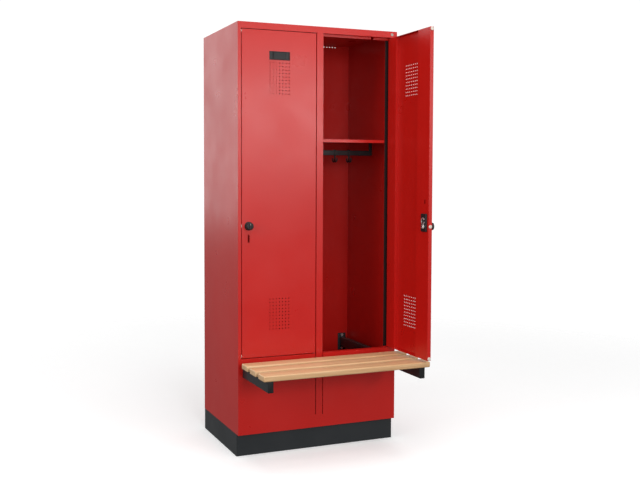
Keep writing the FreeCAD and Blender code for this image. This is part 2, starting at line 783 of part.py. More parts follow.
def make_door_skin(side):
    """The folded pan: a face, four returns, two fields of vents, and the holes for lock and hinges."""
    s = d.door_sheet
    body = doc.addObject("PartDesign::Body", f"{side.title()}Skin")
    flat = sketch_on(body, "XZ_Plane", "SkinOutline", -rear_y)
    rectangle(flat, (free_edge_x, hinge_edge_x), (door_foot, door_top))
    block = pad(body, flat, d.door_thick, "SkinBlock")
    edges = [
        f"Edge{n}"
        for n, edge in enumerate(block.Shape.Edges, start=1)
        if edge.BoundBox.ZLength > 1 and edge.BoundBox.YMax < 0
    ]
    fold = body.newObject("PartDesign::Fillet", "SkinFold")
    fold.Base = (block, edges)
    bind(fold, "Radius", d.door_round)
    doc.recompute()
    inside = sketch_on(body, "XZ_Plane", "SkinInside", -rear_y)
    rectangle(inside, (free_edge_x + s, hinge_edge_x - s), (door_foot + s, door_top - s))
    hollow = body.newObject("PartDesign::Pocket", "SkinHollow")
    hollow.Profile = inside
    hollow.Reversed = True
    bind(hollow, "Length", d.door_thick - s)
    doc.recompute()
    if hollow.Shape.Volume > fold.Shape.Volume / 2:
        raise RuntimeError("the door pan is not hollow")
    openings = sketch_on(body, "XZ_Plane", "LockOpenings")
    circle(openings, d.knob_hub + 2 * d.lock_clear, lock_x, d.lock_height)
    hasp_z = d.lock_height - d.hasp_below
    rectangle(
        openings,
        (lock_x - d.hasp_width / 2, lock_x + d.hasp_width / 2),
        (hasp_z - d.hasp_height / 2, hasp_z + d.hasp_height / 2),
    )
    pocket_through(body, openings, "LockCuts")
    for name, middle_z in (("Upper", door_top - d.vent_from_top), ("Lower", door_foot + d.vent_from_bottom)):
        x = door_middle_x - (d.vent_columns - 1) * d.vent_pitch_x / 2
        z = middle_z - (d.vent_rows - 1) * d.vent_pitch_z / 2
        hole = sketch_on(body, "XZ_Plane", f"{name}Vent")
        circle(hole, d.vent_hole, x, z)
        vent = pocket_through(body, hole, f"{name}Hole")
        steps = [("H_Axis", d.vent_columns, d.vent_pitch_x), ("V_Axis", d.vent_rows, d.vent_pitch_z)]
        pattern(body, vent, hole, steps, f"{name}Field")
    turning = sketch_on(body, "XY_Plane", "BushHoles")
    circle(turning, d.bush_size, 0, 0)
    pocket_through(body, turning, "BushCuts")
    side_holes = sketch_on(body, "YZ_Plane", "BufferHoles", free_edge_x + s / 2)
    for z in buffer_heights():
        circle(side_holes, d.buffer_stem, edge_y, z)
    stems = body.newObject("PartDesign::Pocket", "BufferCuts")
    stems.Profile = side_holes
    stems.Midplane = True
    bind(stems, "Length", 3 * s)
    doc.recompute()
    on_door(body, side, f"{side}_door_skin")


def buffer_heights():
    return (door_top - d.buffer_from_end, d.lock_height, door_foot + d.buffer_from_end)


def make_stiffeners(side):
    """Folded strips inside the pan: one along the hinge, one along the lock with the lock's openings."""
    s = d.door_sheet
    z = (door_foot + s, door_top - s)
    plate_y, leg_y = (rear_y - s, rear_y), (face_y + s, rear_y - s)
    inner = hinge_edge_x - s
    tip = hinge_edge_x - d.hinge_stiffener
    parts = [box((tip, inner), plate_y, z), box((tip, tip + s), leg_y, z)]
    on_door(fuse(*parts), side, f"{side}_hinge_stiffener")

    inner = free_edge_x + s
    tip = free_edge_x + d.lock_stiffener
    parts = [box((inner, tip), plate_y, z), box((tip - s, tip), leg_y, z)]
    spare_z = d.lock_height + d.spare_above
    tools = [
        rod("y", d.knob_hub, plate_y, (lock_x, d.lock_height)),
        box(
            (lock_x - d.spare_width / 2, lock_x + d.spare_width / 2),
            plate_y,
            (spare_z - d.spare_height / 2, spare_z + d.spare_height / 2),
        ),
    ]
    on_door(cut(fuse(*parts), *tools), side, f"{side}_lock_stiffener")


def make_door_fittings(side):
    """Hinge bushes, buffers on the free edge, the label holder, the rosette and the lock case."""
    bore = d.pin_size + 2 * d.pin_clear
    bushes = []
    for z0, z1, flange in (
        (door_top - d.pin_reach, door_top, (door_top, header_foot - d.bush_lift)),
        (door_foot, door_foot + d.pin_reach, (fascia_top + d.bush_lift, door_foot)),
    ):
        barrel = fuse(rod("z", d.bush_size, (z0, z1), (0, 0)), rod("z", d.bush_flange, flange, (0, 0)))
        bushes.append(cut(barrel, rod("z", bore, (ordered(z0, flange[0])[0], ordered(z1, flange[1])[1]), (0, 0))))
    on_door(fuse(*bushes), side, f"{side}_hinge_bushes")

    outer_x = free_edge_x - d.buffer_thick
    buffers = []
    for z in buffer_heights():
        head = rod("x", d.buffer_size, (outer_x, free_edge_x), (edge_y, z))
        stem = rod("x", d.buffer_stem, (free_edge_x, free_edge_x + 2 * d.buffer_thick), (edge_y, z))
        buffers.append(fuse(head, stem))
    on_door(fuse(*buffers), side, f"{side}_door_buffers")

    label_z = door_top - d.label_from_top
    span = (door_middle_x - d.label_width / 2, door_middle_x + d.label_width / 2)
    rise = (label_z - d.label_height / 2, label_z + d.label_height / 2)
    label_face = face_y - d.label_thick
    window_x = (span[0] + d.label_bar, span[1] - d.label_bar)
    window_z = (rise[0] + d.label_rim, rise[1] - d.label_rim)
    plate = rounded(
        box(span, (label_face, face_y), rise),
        d.label_round,
        lambda edge: edge.YLength > 1,
    )
    window = box(window_x, (label_face, label_face + d.label_recess), window_z)
    on_door(cut(plate, window), side, f"{side}_label_holder")

    hub = d.knob_hub + 2 * d.lock_clear
    disc = rod("y", d.rosette_size, (face_y - d.rosette_thick, face_y), (lock_x, d.lock_height))
    bore = rod("y", hub, (face_y - d.rosette_thick, face_y), (lock_x, d.lock_height))
    on_door(cut(disc, bore), side, f"{side}_rosette")

    case_z = (d.lock_height - d.case_below, d.lock_height - d.case_below + d.case_height)
    shell = rounded(
        box((lock_x - d.case_width / 2, lock_x + d.case_width / 2), (rear_y, rear_y + d.case_thick), case_z),
        d.case_thick / 2,
        lambda edge: edge.YLength > 1,
    )
    bore = rod("y", d.spindle_size + 2 * d.pin_clear, (rear_y, rear_y + d.case_thick), (lock_x, d.lock_height))
    on_door(cut(shell, bore), side, f"{side}_lock_case")


def make_lock(side):
    """The knob, its spindle through the door, and the C-shaped hook on the inside."""
    at = (lock_x, d.lock_height)
    knob_rear = face_y - d.rosette_thick - d.lock_clear
    knob_face = knob_rear - d.knob_base
    disc = rounded(
        rod("y", d.knob_size, (knob_face, knob_rear), at),
        d.knob_base / 4,
        lambda edge: edge.ZLength > 1 and edge.YMax < knob_face.number + 0.1,
    )
    grip_x = (lock_x - d.knob_grip_width / 2, lock_x + d.knob_grip_width / 2)
    reach = d.knob_size / 2 - 1
    grip = rounded(
        box(grip_x, (knob_face - d.knob_grip, knob_face), (d.lock_height - reach, d.lock_height + reach)),
        d.knob_grip_width / 4,
        lambda edge: edge.YMax < knob_face.number,
    )
    hub = rod("y", d.knob_hub, (knob_rear, face_y), at)
    knob = cut(fuse(disc, grip, hub), rod("y", d.spindle_size, (knob_face, face_y), at))
    on_door(knob, side, f"{side}_knob")

    plate_y = rear_y + d.case_thick + d.lock_clear + 0.1
    plate_end = plate_y + d.hook_plate
    nut_end = plate_end + d.hook_nut_thick
    shank = rod("y", d.spindle_size, (knob_face, plate_end), at)
    thread = rod("y", d.spindle_thread, (plate_end, nut_end), at)
    on_door(fuse(shank, thread), side, f"{side}_spindle")

    ring_z = d.lock_height + d.hook_rise
    thick = (plate_y, plate_end)
    ring = cut(
        rod("y", d.hook_outer, thick, (lock_x, ring_z)),
        rod("y", d.hook_inner, thick, (lock_x, ring_z)),
        box(
            (lock_x - d.hook_outer, lock_x - d.hook_inner / 4),
            thick,
            (ring_z - d.hook_inner * 0.4, ring_z + d.hook_inner * 0.4),
        ),
    )
    neck_x = (lock_x - d.hook_nut / 2, lock_x + d.hook_nut / 2)
    neck = box(neck_x, thick, (d.lock_height, ring_z - d.hook_inner / 2))
    boss = rod("y", d.hook_nut * 1.5, thick, at)
    nut = hexagon("y", d.hook_nut, (plate_end, nut_end), at)
    tools = [
        rod("y", d.spindle_size, thick, at),
        rod("y", d.spindle_thread, (plate_end, nut_end), at),
    ]
    on_door(cut(fuse(ring, neck, boss, nut), *tools), side, f"{side}_lock_hook")


make_plinth()
make_side_panels()
make_back_panel()
make_roof_and_header()
make_floor_and_fascia()
make_post_and_partition()
make_stop_strips()
make_shelves_and_rails()
make_coat_hooks()
make_bench()
make_hinge_pins()
for door in ("left", "right"):
    make_door_skin(door)
    make_stiffeners(door)
    make_door_fittings(door)
    make_lock(door)

doc.recompute()
for obj in doc.Objects:
    if "Invalid" in obj.State or "Error" in obj.State:
        raise RuntimeError(f"{obj.Label} failed: {obj.State}")
for obj in pieces:
    if obj.Shape.isNull() or not obj.Shape.isValid():
        raise RuntimeError(f"{obj.Label} has no valid shape")
    if not obj.Shape.Solids:
        raise RuntimeError(f"{obj.Label} has no solid")

os.makedirs("parts", exist_ok=True)
for obj in pieces:
    obj.Shape.exportStep(f"parts/{obj.Label}.step")
print(len(pieces), "pieces,", sum(len(obj.Shape.Solids) for obj in pieces), "solids")
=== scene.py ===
# %% [markdown]
# # A school locker with a bench
#
# This lesson dresses a two-door steel locker. The folded sheets, hinges and screws come ready made as a
# fixed frame from the workshop drawing. We paint them, and we build the pieces whose look depends on soft,
# moulded or sanded shapes: the wooden slats, the bench tubes, the knobs, the label holders, the coat hooks
# and the small plastic parts.
#
# Everything is in metres. The locker's front looks along -Y, +X is to the right and the floor is at z = 0.

# %% Load the fixed frame
import json
import math

import bmesh
import bpy
import numpy as np
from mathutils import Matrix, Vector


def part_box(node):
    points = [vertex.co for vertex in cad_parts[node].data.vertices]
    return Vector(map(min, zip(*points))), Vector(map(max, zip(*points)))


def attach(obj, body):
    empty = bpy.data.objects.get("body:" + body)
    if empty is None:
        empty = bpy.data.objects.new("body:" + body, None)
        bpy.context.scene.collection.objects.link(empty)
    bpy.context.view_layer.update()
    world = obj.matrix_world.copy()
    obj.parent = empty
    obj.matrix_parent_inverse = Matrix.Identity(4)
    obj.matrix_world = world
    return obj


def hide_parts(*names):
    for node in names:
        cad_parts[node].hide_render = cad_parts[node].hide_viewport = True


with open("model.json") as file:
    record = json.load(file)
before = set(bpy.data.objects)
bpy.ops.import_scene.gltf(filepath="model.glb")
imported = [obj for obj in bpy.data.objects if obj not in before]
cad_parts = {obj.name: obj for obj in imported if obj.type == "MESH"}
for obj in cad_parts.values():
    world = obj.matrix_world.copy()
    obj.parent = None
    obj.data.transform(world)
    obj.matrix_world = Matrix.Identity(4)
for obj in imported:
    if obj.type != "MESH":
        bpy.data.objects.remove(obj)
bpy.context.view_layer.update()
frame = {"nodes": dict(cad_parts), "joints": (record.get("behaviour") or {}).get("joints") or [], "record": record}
nodes = frame["nodes"]

# %% [markdown]
# ## Finishes
#
# A finish is a small graph of nodes. Every one starts from the Object coordinates, which are metres in the
# locker's own frame, so a grain of a given size is the same size on every piece. Noise at several scales
# gives the slow drift of a colour, the patchiness of a gloss and the fine relief that light catches.

# %% Helpers that wire a finish
PLAIN_INPUTS = {
    "ior": "IOR",
    "shine": "Specular IOR Level",
    "coat": "Coat Weight",
    "coat_roughness": "Coat Roughness",
    "metallic": "Metallic",
    "glow": "Emission Strength",
}


def new_finish(name, **plain):
    """A material with a Principled shader; plain values go straight onto the shader's own sockets."""
    finish = bpy.data.materials.new(name)
    finish.use_nodes = True
    shader = finish.node_tree.nodes["Principled BSDF"]
    for key, amount in plain.items():
        shader.inputs[PLAIN_INPUTS[key]].default_value = amount
    return finish, finish.node_tree, shader


def stretched_place(tree, scale=(1, 1, 1), turn=(0, 0, 0)):
    """Object coordinates, scaled along each axis so that a pattern is stretched where the scale is small."""
    place = tree.nodes.new("ShaderNodeTexCoord")
    mapping = tree.nodes.new("ShaderNodeMapping")
    mapping.inputs["Scale"].default_value = scale
    mapping.inputs["Rotation"].default_value = turn
    tree.links.new(place.outputs["Object"], mapping.inputs["Vector"])
    return mapping.outputs["Vector"]


def noise(tree, place, scale, detail=3.0, distortion=0.0):
    """Cloudy noise between 0 and 1; scale is in clouds per metre."""
    node = tree.nodes.new("ShaderNodeTexNoise")
    node.inputs["Scale"].default_value = scale
    node.inputs["Detail"].default_value = detail
    node.inputs["Distortion"].default_value = distortion
    tree.links.new(place, node.inputs["Vector"])
    return node.outputs["Fac"]


def spread(tree, value, low, high, out_low, out_high):
    """Maps values from low..high to out_low..out_high, and holds them at the ends."""
    node = tree.nodes.new("ShaderNodeMapRange")
    for name, amount in zip(("From Min", "From Max", "To Min", "To Max"), (low, high, out_low, out_high)):
        node.inputs[name].default_value = amount
    tree.links.new(value, node.inputs["Value"])
    return node.outputs["Result"]


def tones(tree, value, stops):
    """A colour ramp through (position, colour) stops."""
    node = tree.nodes.new("ShaderNodeValToRGB")
    ramp = node.color_ramp
    while len(ramp.elements) < len(stops):
        ramp.elements.new(0.5)
    for element, (position, colour) in zip(ramp.elements, stops):
        element.position = position
        element.color = (*colour, 1)
    tree.links.new(value, node.inputs["Fac"])
    return node.outputs["Color"]


def combine(tree, operation, a, b):
    """Joins two values by a sum, a difference or a product; b may be a plain number."""
    node = tree.nodes.new("ShaderNodeMath")
    node.operation = operation
    tree.links.new(a, node.inputs[0])
    if isinstance(b, (int, float)):
        node.inputs[1].default_value = b
    else:
        tree.links.new(b, node.inputs[1])
    return node.outputs["Value"]


def relief(tree, shader, height, depth, strength=1.0):
    """Turns a height between 0 and 1 into a bump that is depth metres deep."""
    bump = tree.nodes.new("ShaderNodeBump")
    bump.inputs["Distance"].default_value = depth
    bump.inputs["Strength"].default_value = strength
    tree.links.new(height, bump.inputs["Height"])
    tree.links.new(bump.outputs["Normal"], shader.inputs["Normal"])


def laid_over(tree, colour, plain, amount):
    """Lays a plain colour over another one, by an amount between 0 and 1."""
    mix = tree.nodes.new("ShaderNodeMix")
    mix.data_type = "RGBA"
    mix.inputs["B"].default_value = (*plain, 1)
    tree.links.new(amount, mix.inputs["Factor"])
    tree.links.new(colour, mix.inputs["A"])
    return mix.outputs["Result"]


print("finish helpers are ready")

# %% [markdown]
# ### Powder coat
#
# Baked powder is not quite flat: it sets with a faint orange peel about a millimetre across. The colour
# drifts a little with the thickness of the coat, and hands and cleaning leave broad patches that are
# slightly duller or glossier. Shoes scuff the lowest part, so the dark coat gets more of the pale short
# streaks than the red one.

# %% The two powder coats
def powder_coat(name, dark, light, dull, scuffs):
    """Colour: slow noise between two tones, with pale scuffs over it. Gloss: patches from dull[0] to dull[1],
    raised by the scuffs. Relief: two sizes of orange peel added together."""
    finish, tree, shader = new_finish(name, ior=1.5)
    place = stretched_place(tree)
    colour = tones(tree, noise(tree, place, 2.4, detail=4), [(0.3, dark), (0.7, light)])
    streak_place = stretched_place(tree, (14, 14, 160), (0.05, 0.03, 0))
    streaks = spread(tree, noise(tree, streak_place, 3.0, detail=6, distortion=0.4), 0.66, 0.74, 0, scuffs)
    worn = [min(1.0, 0.12 + 0.8 * tone) for tone in light]
    tree.links.new(laid_over(tree, colour, worn, streaks), shader.inputs["Base Color"])
    patches = spread(tree, noise(tree, place, 7, detail=5), 0.3, 0.7, *dull)
    roughness = combine(tree, "ADD", patches, combine(tree, "MULTIPLY", streaks, 0.5))
    tree.links.new(roughness, shader.inputs["Roughness"])
    peel = combine(tree, "ADD", noise(tree, place, 420, detail=2), noise(tree, place, 1300, detail=1))
    relief(tree, shader, peel, 0.00006, 0.35)
    return finish


red_coat = powder_coat("red_powder_coat", (0.52, 0.0085, 0.0055), (0.56, 0.0105, 0.0065), (0.27, 0.35), 0.04)
grey_coat = powder_coat("grey_powder_coat", (0.016, 0.019, 0.022), (0.021, 0.024, 0.027), (0.38, 0.5), 0.16)
print("powder coats:", red_coat.name, grey_coat.name)

# %% [markdown]
# ### Beech
#
# The slats are cut along the grain and lacquered. Two noises stretched along X make the long soft bands and
# the fine darker fibres. Short dark flecks are the rays that show in beech. The lacquer is a thin clear coat.

# %% The slats' wood
BEECH_TONES = [
    (0.30, (0.52, 0.275, 0.125)),
    (0.46, (0.66, 0.40, 0.20)),
    (0.58, (0.74, 0.485, 0.265)),
    (0.72, (0.80, 0.56, 0.335)),
]
FLECK = (0.36, 0.17, 0.085)


def lacquered_beech(name):
    """Tone: 0.6 of long bands plus 0.4 of fine fibres. Flecks darken it where a third noise rises from 0.66
    to 0.76."""
    finish, tree, shader = new_finish(name, ior=1.45, coat=0.18, coat_roughness=0.22)
    bands = noise(tree, stretched_place(tree, (1.1, 34, 26)), 1.0, detail=5, distortion=0.8)
    fibres = noise(tree, stretched_place(tree, (7, 420, 300)), 1.0, detail=4)
    grain = combine(tree, "ADD", combine(tree, "MULTIPLY", bands, 0.6), combine(tree, "MULTIPLY", fibres, 0.4))
    rays = noise(tree, stretched_place(tree, (60, 700, 500)), 1.0, detail=2)
    flecks = spread(tree, rays, 0.66, 0.76, 0, 0.45)
    wood = laid_over(tree, tones(tree, grain, BEECH_TONES), FLECK, flecks)
    tree.links.new(wood, shader.inputs["Base Color"])
    tree.links.new(spread(tree, fibres, 0.3, 0.7, 0.36, 0.5), shader.inputs["Roughness"])
    relief(tree, shader, combine(tree, "SUBTRACT", fibres, flecks), 0.00012, 0.5)
    return finish


beech = lacquered_beech("lacquered_beech")
print("wood:", beech.name)

# %% [markdown]
# ### Plastics, rubber and plated steel
#
# Moulded plastic shows a fine even grain, rubber is duller with a coarser one, and zinc has a faint
# directional brushing with patches of different gloss. One function makes them all from a few numbers.

# %% The small parts' finishes
def moulded(name, dark, light, dull, grain, depth, stretch=(1, 1, 1), **plain):
    """Colour: noise between two tones. Gloss: patches between two values. Relief: one grain of a given size."""
    finish, tree, shader = new_finish(name, **plain)
    slow = noise(tree, stretched_place(tree), 40, detail=4)
    tree.links.new(tones(tree, slow, [(0.32, dark), (0.68, light)]), shader.inputs["Base Color"])
    fine = noise(tree, stretched_place(tree, stretch), grain, detail=3)
    roughness = spread(tree, combine(tree, "MULTIPLY", slow, fine), 0.1, 0.45, *dull)
    tree.links.new(roughness, shader.inputs["Roughness"])
    relief(tree, shader, fine, depth, 0.6)
    return finish


black_plastic = moulded(
    "black_plastic", (0.010, 0.010, 0.011), (0.019, 0.019, 0.020), (0.36, 0.52), 1600, 0.00005, shine=0.3
)
cream_plastic = moulded("cream_plastic", (0.66, 0.57, 0.49), (0.74, 0.66, 0.58), (0.25, 0.36), 900, 0.00003)
grey_plastic = moulded(
    "grey_plastic", (0.34, 0.32, 0.28), (0.42, 0.40, 0.35), (0.35, 0.48), 900, 0.00003, shine=0.3
)
# Dark rubber dresses the stop strips beside the hinges, which are painted shade for the deeply shaded slot there.
dark_rubber = moulded(
    "dark_rubber", (0.006, 0.002, 0.002), (0.012, 0.004, 0.004), (0.6, 0.75), 700, 0.0001, shine=0.2
)
zinc = moulded(
    "zinc", (0.62, 0.62, 0.62), (0.78, 0.78, 0.76), (0.34, 0.5), 500, 0.00002, (1, 1, 9), metallic=0.85
)
print("small finishes:", black_plastic.name, cream_plastic.name, grey_plastic.name, dark_rubber.name, zinc.name)

# %% [markdown]
# ## Paint the frame
#
# On a real locker the sheets are cut, folded and welded, and then hung up and sprayed with powder in one go,
# so one coat runs over all of them. Here they keep the mesh that the drawing gave them. Each one only needs
# a finish in its material slot, chosen from the slot that the record names.

# %% One finish for every piece of the frame
finishes = {
    "red_paint": red_coat,
    "grey_paint": grey_coat,
    "beech": beech,
    "rubber": dark_rubber,
    "steel": zinc,
    "black_plastic": black_plastic,
    "grey_plastic": grey_plastic,
    "cream_plastic": cream_plastic,
}
slots = {part["node"]: part["material_slot"] for part in frame["record"]["subparts"]}
for name, node in nodes.items():
    node.data.materials.clear()
    node.data.materials.append(finishes[slots[name]])
print({slot: sum(1 for own in slots.values() if own == slot) for slot in finishes})

# %% [markdown]
# ## Surfaces from numbers
#
# Most new pieces are one of three shapes, and each is a formula evaluated on a whole grid at once:
#
# * a block with every edge rounded,
# * a profile turned about an axis,
# * a section carried along a path.
#
# A grid of points becomes quads between neighbouring rows and columns. Only the label holder is a fourth
# kind, a height over a plate.

# %% From grids of points to a mesh
def quads(rows, columns, closed_rows, closed_columns, first=0):
    """Corner numbers of the quads of a rows x columns grid; a closed direction joins its end to its start."""
    i = np.arange(rows if closed_rows else rows - 1)
    j = np.arange(columns if closed_columns else columns - 1)
    i, j = np.meshgrid(i, j, indexing="ij")
    i2, j2 = (i + 1) % rows, (j + 1) % columns
    corners = [i * columns + j, i * columns + j2, i2 * columns + j2, i2 * columns + j]
    return np.stack(corners, axis=-1).reshape(-1, 4) + first


def make_piece(name, grids, body, finish, stands_for=(), sharp=40):
    """One mesh from several (points, closed_rows, closed_columns) grids. Doubled points are merged, which
    closes poles and seams, and faces are turned outwards."""
    points, faces, count = [], [], 0
    for grid, closed_rows, closed_columns in grids:
        rows, columns = grid.shape[:2]
        points.append(grid.reshape(-1, 3))
        faces.append(quads(rows, columns, closed_rows, closed_columns, count))
        count += rows * columns
    mesh = bpy.data.meshes.new(name)
    mesh.from_pydata(np.concatenate(points).tolist(), [], np.concatenate(faces).tolist())
    shell = bmesh.new()
    shell.from_mesh(mesh)
    bmesh.ops.remove_doubles(shell, verts=shell.verts, dist=1e-6)
    bmesh.ops.dissolve_degenerate(shell, edges=shell.edges, dist=1e-7)
    bmesh.ops.recalc_face_normals(shell, faces=shell.faces)
    shell.to_mesh(mesh)
    shell.free()
    mesh.shade_smooth()
    mesh.set_sharp_from_angle(angle=math.radians(sharp))
    mesh.materials.append(finish)
    piece = bpy.data.objects.new(name, mesh)
    bpy.context.scene.collection.objects.link(piece)
    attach(piece, body)
    if stands_for:
        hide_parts(*stands_for)
    return piece


print("grid helper is ready")

# %% [markdown]
# A rounded block is the easiest soft shape to write down. Take a small sphere and pull its eight octants
# apart until they sit in the block's corners: the gaps between them become the flat faces.

# %% Rounded blocks
def rounded_block(low, high, radius, steps=6):
    """Point = sign(n) * (half - radius) + radius * n, about the middle of the block, where n runs over a
    sphere. The quadrant ends are listed twice, once for each sign, and that opens the flat faces."""
    low, high = np.array(low, float), np.array(high, float)
    middle, half = (low + high) / 2, (high - low) / 2
    around = np.concatenate([np.linspace(q, q + 0.5 * np.pi, steps + 1) for q in np.arange(4) * 0.5 * np.pi])
    tilt = np.concatenate([np.linspace(-0.5 * np.pi, 0, steps + 1), np.linspace(0, 0.5 * np.pi, steps + 1)])
    flat = np.cos(tilt)[:, None]
    rise = np.repeat(np.sin(tilt)[:, None], len(around), axis=1)
    ball = np.stack([flat * np.cos(around), flat * np.sin(around), rise], axis=-1)
    sign = np.empty_like(ball)
    sign[..., :2] = np.repeat([[1, 1], [-1, 1], [-1, -1], [1, -1]], steps + 1, axis=0)
    sign[..., 2] = np.repeat([-1, 1], steps + 1)[:, None]
    shell = middle + sign * (half - radius) + radius * ball
    foot = np.broadcast_to((middle[0], middle[1], low[2]), shell[:1].shape)
    top = np.broadcast_to((middle[0], middle[1], high[2]), shell[:1].shape)
    return np.concatenate([foot, shell, top]), False, True


def boxed(middle_x, half_x, y, z, radius):
    """A rounded block that is half_x to either side of middle_x, and runs from y[0] to y[1], z[0] to z[1]."""
    return rounded_block((middle_x - half_x, y[0], z[0]), (middle_x + half_x, y[1], z[1]), radius)


print("rounded blocks are ready")

# %% [markdown]
# ## Bench slats
#
# The slats are planed beech boards whose long edges and ends are eased by a router, so that nothing
# scratches the legs. One rounded block is all that each of them needs.

# %% Three slats
SLAT_EASE = 0.0055


def slat_piece(name):
    """A rounded block over the slat's drawn box."""
    return make_piece(f"{name}_wood", [rounded_block(*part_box(name), SLAT_EASE, 8)], "cabinet", beech, [name])


slats = [slat_piece(name) for name in ("front_slat", "middle_slat", "rear_slat")]
print("slats:", [len(slat.data.vertices) for slat in slats], "points each")

# %% [markdown]
# ## Bench tubes
#
# The tubes are rectangular hollow section with rounded corners. Each is welded to a plate on the back panel,
# and has a moulded cap in its open front end. The cap has a thin joint line and a slightly crowned face.

# %% Tubes, plates and end caps
TUBE_WIDE, TUBE_TALL, TUBE_EASE = 0.025, 0.050, 0.003
PLATE_THICK, PLATE_EASE, WELD = 0.003, 0.0012, 0.001
# A cap's layers: insets from the tube's sides and from its top and foot, start and end along y from the
# tube's mouth, and the edges' radius. They are the face, its crown and the tongue inside the tube.
CAP_LAYERS = [
    (0.0, 0.0, -0.003, -0.0003, 0.0012),
    (0.003, 0.003, -0.0034, -0.002, 0.0006),
    (0.0021, 0.0022, -0.002, 0.014, 0.001),
]


def tube_pieces(side):
    """The tube is a rounded block in the middle of its drawn box, let into the plate by the weld, and the
    plate fills the box's height and width at the back. Returns the mouth: middle in x, y, foot and top."""
    name = f"{side}_bench_tube"
    low, high = (np.array(corner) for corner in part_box(name))
    middle = (low + high) / 2
    foot, top = middle[2] - TUBE_TALL / 2, middle[2] + TUBE_TALL / 2
    plate_y = high[1] - PLATE_THICK
    tube = boxed(middle[0], TUBE_WIDE / 2, (low[1], plate_y + WELD), (foot, top), TUBE_EASE)
    plate = rounded_block((low[0], plate_y, low[2]), high, PLATE_EASE)
    make_piece(f"{name}_steel", [tube, plate], "cabinet", grey_coat, [name])
    return middle[0], low[1], foot, top


def end_cap(middle_x, mouth, foot, top):
    """Three rounded blocks, each set in from the tube's outline by its own insets."""
    return [
        boxed(
            middle_x,
            TUBE_WIDE / 2 - inset_x,
            (mouth + near, mouth + far),
            (foot + inset_z, top - inset_z),
            ease,
        )
        for inset_x, inset_z, near, far, ease in CAP_LAYERS
    ]


tube_ends = [tube_pieces(side) for side in ("left", "right")]
cap_grids = [layer for end in tube_ends for layer in end_cap(*end)]
make_piece("tube_end_caps", cap_grids, "cabinet", black_plastic, ["tube_caps"])
print("tube ends at", [tuple(round(v, 3) for v in end) for end in tube_ends])

# %% [markdown]
# ## Working on a door
#
# A door's parts are easiest to shape in the door's own frame: the hinge axis is the origin, the shut door
# runs towards -x, and its face looks along -y. The right door stands open, so its parts are turned a quarter
# about the hinge before they are put in place.

# %% The door's frame
hinges = {joint["name"]: joint for joint in frame["joints"]}
door_spots = {
    "left": (np.array(hinges["left_door_hinge"]["pos_m"][:2]), 0.0),
    "right": (np.array(hinges["right_door_hinge"]["pos_m"][:2]), 0.5 * math.pi),
}


def on_door(side, grids):
    """Turns door-frame grids about the hinge and moves them to it: x' = cos(a) x - sin(a) y + px, and so on."""
    (px, py), angle = door_spots[side]
    turn = np.array([[math.cos(angle), -math.sin(angle), 0], [math.sin(angle), math.cos(angle), 0], [0, 0, 1]])
    return [(grid @ turn.T + (px, py, 0), rows, columns) for grid, rows, columns in grids]


skin_low, skin_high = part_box("left_door_skin")
pivot = door_spots["left"][0]
FACE, REAR = skin_low[1] - pivot[1], skin_high[1] - pivot[1]
FREE_EDGE, HINGE_EDGE = skin_low[0] - pivot[0], skin_high[0] - pivot[0]
DOOR_FOOT, DOOR_TOP = skin_low[2], skin_high[2]
knob_low, knob_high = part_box("left_knob")
LOCK_X = (knob_low[0] + knob_high[0]) / 2 - pivot[0]
LOCK_Z = (knob_low[2] + knob_high[2]) / 2
LOCK_AXIS = (LOCK_X, 0, LOCK_Z)
print(f"door from {FACE:.4f} to {REAR:.4f}, free edge {FREE_EDGE:.4f}, lock at {LOCK_X:.4f}, {LOCK_Z:.4f}")

# %% [markdown]
# ## Turned parts
#
# Buffers, rosettes, the knob's body and the header's plug are all turned shapes. A profile gives the
# radius at each height, and a turn about the axis makes the surface.

# %% Profiles turned about an axis
AXES = {
    "x": np.array([[0, 1, 0], [0, 0, 1], [1, 0, 0]], float),
    "y": np.array([[1, 0, 0], [0, 0, 1], [0, 1, 0]], float),
}


def turned(profile, centre, axis="y", sides=48, start=0.0):
    """Point = centre + radius * (cos t, sin t) across the axis + height along it, for every
    (radius, height) of the profile."""
    profile = np.array(profile, float)
    t = start + np.arange(sides) * 2 * np.pi / sides
    ring = profile[:, :1, None] * np.stack([np.cos(t), np.sin(t)], axis=-1)[None]
    height = np.broadcast_to(profile[:, 1:, None], (len(profile), sides, 1))
    return np.concatenate([ring, height], axis=-1) @ AXES[axis] + np.array(centre, float), False, True


def rounded_disc(radius, low, high, ease, steps=6):
    """A disc's profile from low to high, its far rim rounded by a quarter circle of radius ease."""
    a = np.linspace(0, 0.5 * np.pi, steps + 1)
    way = np.sign(high - low)
    rim = np.stack([radius - ease + ease * np.cos(a), high - way * (ease - ease * np.sin(a))], axis=1)
    return np.concatenate([[(0, low), (radius, low)], rim, [(0, high)]])


print("turning is ready")

# %% [markdown]
# ### Rosettes, buffers and the header's plug
#
# The rosette is a thin ring that hides the edge of the knob's hole. Each buffer is a soft button with a stem
# pushed through the door's free edge, at the top, at the lock and at the foot, so that the door shuts quietly.
# The plug is the same kind of button and closes a spare hole in the header.

# %% Rosettes, buffers and plug
ROSETTE_RADIUS, ROSETTE_HOLE, ROSETTE_THICK, ROSETTE_EASE = 0.0195, 0.0083, 0.003, 0.002
BUFFER_RADIUS, BUFFER_THICK, BUFFER_EASE, BUFFER_FROM_END = 0.008, 0.0028, 0.0018, 0.0085
STEM_RADIUS, STEM_LONG, STEM_EASE = 0.003, 0.0056, 0.001
PLUG_RADIUS, PLUG_THICK, PLUG_EASE = 0.007, 0.0012, 0.001
PLUG_STEM_RADIUS, PLUG_STEM_EASE = 0.004, 0.0008


def rosette_profile(radius, hole, low, high, ease):
    """A ring's profile: up the hole, over the rounded rim and back under."""
    disc = rounded_disc(radius, low, high, ease)[1:-1]
    return np.concatenate([[(hole, low)], disc, [(hole, high), (hole, low)]])


